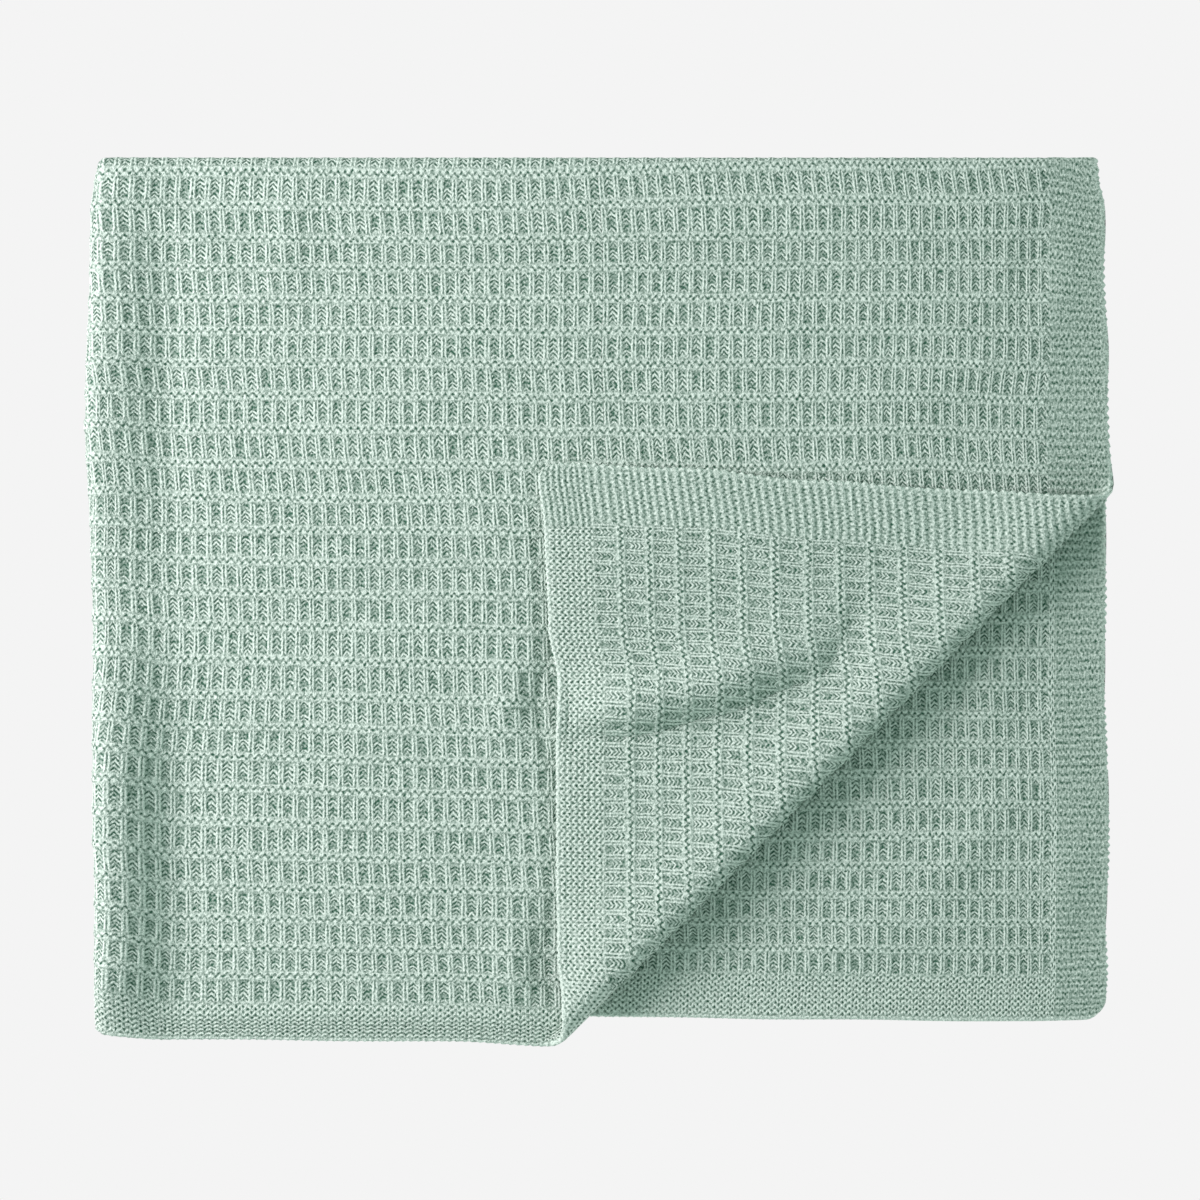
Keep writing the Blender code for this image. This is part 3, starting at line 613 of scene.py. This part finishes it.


# Knitted cotton. Height of the yarn from the stitch and row numbers: in a raised stitch two near-upright
# legs, in a sunk one a stack of small arches, seven rows of them to a ridge, on a ridge two waved strands,
# in the border a waved strand every two rows. A waved strand is as thick across its slopes as at its
# crests, so that the painted shade of the gaps stays only inside the crests. The same height gives the bump
# and the colour: the lower the yarn, the darker it is painted, which is painted shade in the gaps and
# hollows between the strands.
def knitMaterial():
    material = bpy.data.materials.new("sageKnit")
    material.use_nodes = True
    tree = material.node_tree
    link = tree.links.new
    calc = nodeMaker(tree)
    shader = tree.nodes["Principled BSDF"]

    # one UV map, whole and as its two numbers
    def numbersOf(name):
        places = tree.nodes.new("ShaderNodeUVMap")
        places.uv_map = name
        parts = tree.nodes.new("ShaderNodeSeparateXYZ")
        link(places.outputs["UV"], parts.inputs[0])
        return places.outputs["UV"], parts.outputs["X"], parts.outputs["Y"]

    knitPlaces, u, v = numbersOf("knit")
    garterPlaces, stitch, row = numbersOf("garter")

    # one attribute of the mesh
    def attribute(name):
        node = tree.nodes.new("ShaderNodeAttribute")
        node.attribute_name = name
        return node.outputs["Fac"]

    border = attribute("border")
    ribShare = attribute("ribShare")
    edgeHighlight = attribute("edgeHighlight")

    # even cloud about 0
    def noise(places, scaleU, scaleV, detail, seed):
        stretch = tree.nodes.new("ShaderNodeMapping")
        stretch.inputs["Scale"].default_value = (scaleU, scaleV, 1.0)
        stretch.inputs["Location"].default_value = (seed, seed * 0.7, seed)
        cloud = tree.nodes.new("ShaderNodeTexNoise")
        cloud.inputs["Scale"].default_value = 1.0
        cloud.inputs["Detail"].default_value = detail
        link(places, stretch.inputs["Vector"])
        link(stretch.outputs["Vector"], cloud.inputs["Vector"])
        return calc("SUBTRACT", cloud.outputs["Fac"], 0.5)

    # one number for each stitch, 0 to 1
    def eachStitch(across, along, seed):
        cell = tree.nodes.new("ShaderNodeCombineXYZ")
        link(calc("ADD", calc("FLOOR", across), seed), cell.inputs[0])
        link(calc("FLOOR", along), cell.inputs[1])
        white = tree.nodes.new("ShaderNodeTexWhiteNoise")
        white.noise_dimensions = "2D"
        link(cell.outputs[0], white.inputs["Vector"])
        return white.outputs["Value"]

    # 1 at the middle of a strand, 0 beyond half its width
    def strand(distance, halfWidth):
        across = calc("DIVIDE", distance, halfWidth)
        return calc("MAXIMUM", calc("SUBTRACT", 1.0, calc("MULTIPLY", across, across)), 0.0)

    # from the first to the other by a share, each a number or a socket
    def blend(share, first, other):
        plain = isinstance(first, float) and isinstance(other, float)
        step = other - first if plain else calc("SUBTRACT", other, first)
        return calc("MULTIPLY_ADD", share, step, first)

    # signed distance to the nearest of lines that lie this far apart
    def toNearest(value, apart):
        nearest = calc("MULTIPLY", calc("ROUND", calc("DIVIDE", value, apart)), apart)
        return calc("SUBTRACT", value, nearest)

    # distance times the cosine of the slope of a wave of this height in rows
    def acrossWave(distance, turn, waveHeight):
        slope = calc("MULTIPLY", calc("MULTIPLY", calc("SINE", turn), waveHeight), garterYarn["slopeGain"])
        return calc("DIVIDE", distance, calc("SQRT", calc("MULTIPLY_ADD", slope, slope, 1.0)))

    # place across a raised or a sunk stitch, -0.5 to 0.5, a little uneven
    uneven = noise(knitPlaces, *clouds["across"])
    v = calc("ADD", v, calc("MULTIPLY", noise(knitPlaces, *clouds["along"]), yarn["unevenAlong"]))
    place = calc("FLOORED_MODULO", u, 2.0)
    raised = calc("LESS_THAN", place, knit["knitWidth"])
    inRaised = calc("DIVIDE", place, knit["knitWidth"])
    inSunk = calc("DIVIDE", calc("SUBTRACT", place, knit["knitWidth"]), 2.0 - knit["knitWidth"])
    across = calc("SUBTRACT", blend(raised, inSunk, inRaised), 0.5)
    across = calc("ADD", across, calc("MULTIPLY", uneven, yarn["unevenAcross"]))
    aside = calc("ABSOLUTE", across)

    # bands: legs and arches
    legs = strand(calc("SUBTRACT", aside, ribYarn["legPlace"]), ribYarn["legHalf"])
    ribRow = calc("MULTIPLY", v, ribYarn["rowShare"])
    twist = toNearest(calc("SUBTRACT", ribRow, calc("MULTIPLY", aside, ribYarn["legTwist"])), 1.0)
    twist = calc("MULTIPLY", calc("ABSOLUTE", twist), ribYarn["legShade"])
    legs = calc("MULTIPLY", legs, calc("SUBTRACT", 1.0, twist))
    legs = calc("MAXIMUM", legs, calc("MULTIPLY", eachStitch(u, ribRow, 40.0), ribYarn["legFloor"]))
    arches = toNearest(calc("SUBTRACT", ribRow, calc("MULTIPLY", aside, ribYarn["archSlope"])), 1.0)
    tone = calc("MULTIPLY_ADD", eachStitch(u, ribRow, 0.0), ribYarn["archRange"], ribYarn["archTone"])
    arches = calc("MULTIPLY", strand(arches, ribYarn["archHalf"]), tone)
    # painted shade: the sunk stitches are painted darker where the ribs are deeper
    base = calc("MULTIPLY_ADD", ribShare, ribYarn["archLess"], ribYarn["archBase"])
    rib = blend(raised, calc("ADD", arches, base), legs)

    # ridge: two waved strands, fat inside their crests, and the gap between them, whose darkness is painted
    # shade, as is the darker slack beside them
    turn = calc("MULTIPLY", across, 2 * math.pi)
    crest = calc("COSINE", turn)
    waved = calc("MULTIPLY_ADD", crest, ridgeYarn["wave"], toNearest(v, knit["ridgeRows"]))
    fat = calc("MULTIPLY", crest, calc("SIGN", waved))
    deep = calc("MULTIPLY_ADD", ribShare, ridgeYarn["gapLess"], ridgeYarn["gapDepth"])
    deep = calc("MULTIPLY_ADD", calc("MULTIPLY", crest, crest), ridgeYarn["gapCrest"], deep)
    gap = calc("MULTIPLY", strand(waved, ridgeYarn["gapHalf"]), deep)
    bead = eachStitch(calc("MULTIPLY", u, 2.0), v, 80.0)
    bead = calc("MULTIPLY_ADD", bead, ridgeYarn["beadRange"], ridgeYarn["beadTone"])
    bead = calc("MULTIPLY_ADD", fat, ridgeYarn["beadFat"], bead)
    slackFrom = calc("MULTIPLY_ADD", fat, ridgeYarn["slackFat"], ridgeYarn["slackStart"])
    slack = calc("SUBTRACT", calc("ABSOLUTE", waved), slackFrom)
    slack = calc("MULTIPLY", calc("MAXIMUM", slack, 0.0), ridgeYarn["slackGain"])
    ridge = calc("SUBTRACT", calc("SUBTRACT", bead, gap), slack)
    ridge = calc("MAXIMUM", ridge, ridgeYarn["floor"])
    fromRidge = calc("SUBTRACT", waved, calc("MULTIPLY", crest, ridgeYarn["zoneWave"]))
    beyond = calc("SUBTRACT", calc("ABSOLUTE", fromRidge), ridgeYarn["zoneHalf"])
    beyond = calc("MULTIPLY", beyond, ridgeYarn["zoneGain"], clamp=True)
    zone = calc("SUBTRACT", 1.0, beyond, clamp=True)

    # border: a waved strand every two rows, flatter and wider in the side borders
    uneven = noise(garterPlaces, *clouds["garterStitch"])
    turn = calc("MULTIPLY", calc("MULTIPLY_ADD", uneven, garterYarn["unevenStitch"], stitch), 2 * math.pi)
    uneven = noise(garterPlaces, *clouds["garterRow"])
    row = calc("MULTIPLY_ADD", uneven, garterYarn["unevenRow"], row)
    row = calc("SUBTRACT", row, faceForm["garterStart"])
    side = calc("GREATER_THAN", calc("ABSOLUTE", u), knit["sideBorder"])
    waveHeight = blend(side, *garterYarn["wave"])
    waved = toNearest(calc("MULTIPLY_ADD", calc("COSINE", turn), waveHeight, row), 2.0)
    garter = strand(acrossWave(waved, turn, waveHeight), blend(side, *garterYarn["half"]))
    # painted shade: the side borders are painted darker where the ribs are deep
    sideTone = calc("MULTIPLY_ADD", ribShare, garterYarn["sideLess"], garterYarn["sideTone"])
    garterTone = blend(side, garterYarn["endTone"], sideTone)
    garter = calc("MULTIPLY_ADD", garter, garterTone, blend(side, *garterYarn["floor"]))

    height = blend(border, blend(zone, rib, ridge), garter)
    # painted highlight: the yarn along the sheet's own edge is made light, as the rolled edge catches the
    # light
    height = calc("MAXIMUM", height, calc("MULTIPLY", edgeHighlight, yarn["edgeHighlightTone"]))

    body = tree.nodes.new("ShaderNodeTexCoord")
    fuzz = noise(body.outputs["Object"], *clouds["fuzz"])
    fluffy = calc("MULTIPLY_ADD", fuzz, yarn["fuzz"], height)
    bump = tree.nodes.new("ShaderNodeBump")
    bump.inputs["Strength"].default_value = 1.0
    bump.inputs["Distance"].default_value = yarn["bump"]
    link(fluffy, bump.inputs["Height"])
    link(bump.outputs["Normal"], shader.inputs["Normal"])

    mottle = calc("MULTIPLY", noise(knitPlaces, *clouds["mottle"]), yarn["mottle"])
    # colour from the height: the lower the yarn, the darker it is painted, painted shade in the gaps and
    # hollows; the fuzz and mottle add random tone
    tone = calc("ADD", calc("MULTIPLY", fluffy, yarn["toneGain"]), yarn["toneBase"])
    tone = calc("ADD", tone, mottle, clamp=True)
    colour = tree.nodes.new("ShaderNodeMix")
    colour.data_type = "RGBA"
    colour.inputs[6].default_value = yarn["shadow"]
    colour.inputs[7].default_value = yarn["light"]
    link(tone, colour.inputs[0])
    link(colour.outputs[2], shader.inputs["Base Color"])
    shader.inputs["Roughness"].default_value = yarn["roughness"]
    shader.inputs["Specular IOR Level"].default_value = yarn["specular"]
    return material


# Lines of a panel that ends in the sheet's own edge: closer and closer together there.
def edgeLines(lines, own, limit):
    sign = 1.0 if own > 0 else -1.0
    near = sign * (limit - np.array(hem["lines"]))
    inside = lines[np.abs(lines) < limit - hem["clear"]]
    return np.append(inside, near) if own > 0 else np.append(near[::-1], inside)


edgeU = knit["edgeStitch"]
edgeV = knit["edgeRow"]


# Lines in stretches, each with its start, its end and how many lines it has: close together where a fold or
# an edge needs them, and wide apart elsewhere.
def wideLines(*stretches):
    return np.unique(np.concatenate([np.linspace(*stretch) for stretch in stretches]))


# Lines with a panel's first line added, and its last one. Such a line is the cut itself, so that two panels
# meet on it.
def withCuts(lines, start, end=None):
    last = [] if end is None else [end]
    return np.concatenate([[start], lines, last])


# Row lines between two cuts, or from one cut to the sheet's own edge.
def rowsBetween(start, end):
    return withCuts(rowLines(start, end), start, end)


def rowsToEdge(start):
    return edgeLines(withCuts(rowLines(start, edgeV), start), 1, edgeV)


# Stitch lines from one cut to the sheet's right edge.
def stitchesToEdge(start, faceShift):
    return edgeLines(withCuts(stitchLines(start, edgeU, faceShift), start), 1, edgeU)


# Stitch lines of the second layer: fine where it shows, up to fineEnd, and wide where it is covered.
def secondStitches(fineEnd, count):
    covered = wideLines((fineEnd, cut["innerSide"], count), (cut["innerSide"], cut["left"], 6))
    return edgeLines(np.concatenate([stitchLines(-edgeU, fineEnd, 1), covered]), -1, edgeU)


leftU = withCuts(stitchLines(cut["left"], cut["middle"], 0), cut["left"], cut["middle"])
upperU = wideLines((-edgeU, -130, 35), (-130, cut["innerSide"], 60), (cut["innerSide"], cut["left"], 10))
upperV = wideLines((cut["top"], 4, 34), (4, cut["upperRight"], 39))
pairU = wideLines((-edgeU, -137, 20), (-137, -8, 66), (-8, 8, 48), (8, 137, 66), (137, edgeU, 20))
pairV = wideLines((-edgeV, -200, 25), (-200, cut["top"], 94))
pieces = [
    makePanel("blanket_front_left", leftU, rowsBetween(cut["top"], cut["upperLeft"]), 1),
    makePanel("blanket_front_right", stitchesToEdge(cut["middle"], 0),
              rowsBetween(cut["top"], cut["upperRight"]), 1),
    makePanel("blanket_front_lower", leftU, rowsToEdge(cut["upperLeft"]), 1),
    makePanel("blanket_turned_corner", stitchesToEdge(cut["middle"], 1), rowsToEdge(cut["upperRight"]), -1,
              ribShare=0.80),
    makePanel("blanket_second_lower", secondStitches(cut["fineLower"], 14), rowsToEdge(cut["second"]), -1),
    makePanel("blanket_second_middle", secondStitches(cut["fineMiddle"], 20),
              rowsBetween(cut["upperRight"], cut["second"]), -1),
    makePanel("blanket_second_upper", edgeLines(upperU, -1, edgeU), upperV, -1, every=2),
    makePanel("blanket_lower_pair", edgeLines(edgeLines(pairU, -1, edgeU), 1, edgeU),
              edgeLines(pairV, -1, edgeV), 1, every=2),
]
knitted = knitMaterial()
for piece in pieces:
    piece.data.materials.append(knitted)
print("cloth made")

# Each panel hung on the root body, and the CAD's blanket hidden.
for piece in pieces:
    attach(piece, "root")
    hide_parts("blanket")

# What a user would change in the studio. viewWidth is how much of the floor the picture spans.
studio = {
    "floor": 0.905, "skyColour": (0.77, 0.93, 0.875, 1.0), "skyStrength": 0.57,
    "keyPlace": (-0.85, 0.23, 0.64), "keyWidth": 0.65, "keyPower": 11.4, "keyColour": (1.0, 0.87, 0.925),
    "viewWidth": 0.474, "lens": 300.0, "sensor": 36.0, "look": (0.00052, 0.00078, 0.010),
    "clip": 50.0, "floorReach": 6.0, "floorDrop": 0.0002,
}
floorMesh = bpy.data.meshes.new("floor")
reach = studio["floorReach"]
floorCorners = [(-reach, -reach, 0), (reach, -reach, 0), (reach, reach, 0), (-reach, reach, 0)]
floorMesh.from_pydata(floorCorners, [], [(0, 1, 2, 3)])
floor = bpy.data.objects.new("floor", floorMesh)
bpy.context.scene.collection.objects.link(floor)
floor.location.z = -studio["floorDrop"]
paper = bpy.data.materials.new("palePaper")
paper.use_nodes = True
paperTree = paper.node_tree
paperTree.nodes.clear()
glow = paperTree.nodes.new("ShaderNodeEmission")
glow.inputs["Color"].default_value = (studio["floor"],) * 3 + (1.0,)
output = paperTree.nodes.new("ShaderNodeOutputMaterial")
paperTree.links.new(glow.outputs[0], output.inputs["Surface"])
floorMesh.materials.append(paper)

world = bpy.data.worlds.new("studio")
bpy.context.scene.world = world
world.use_nodes = True
world.node_tree.nodes["Background"].inputs["Color"].default_value = studio["skyColour"]
world.node_tree.nodes["Background"].inputs["Strength"].default_value = studio["skyStrength"]


# A round soft lamp aimed at the cloth: where it stands, how wide it is, its power and its colour.
def softLight(name, place, width, power, colour):
    lamp = bpy.data.lights.new(name, "AREA")
    lamp.color = colour
    lamp.shape = "DISK"
    lamp.size = width
    lamp.energy = power
    light = bpy.data.objects.new(name, lamp)
    light.location = place
    light.rotation_euler = Vector(place).to_track_quat("Z", "Y").to_euler()
    bpy.context.scene.collection.objects.link(light)


softLight("key", studio["keyPlace"], studio["keyWidth"], studio["keyPower"], studio["keyColour"])

camera = bpy.data.cameras.new("camera")
camera.lens = studio["lens"]
camera.sensor_width = studio["sensor"]
camera.clip_end = studio["clip"]
cameraObject = bpy.data.objects.new("camera", camera)
distance = studio["viewWidth"] * studio["lens"] / studio["sensor"]
lookX, lookY, lookZ = studio["look"]
cameraObject.location = (lookX, lookY, lookZ + distance)
bpy.context.scene.collection.objects.link(cameraObject)
bpy.context.scene.camera = cameraObject
bpy.context.scene.view_settings.view_transform = "Standard"
print("studio made")
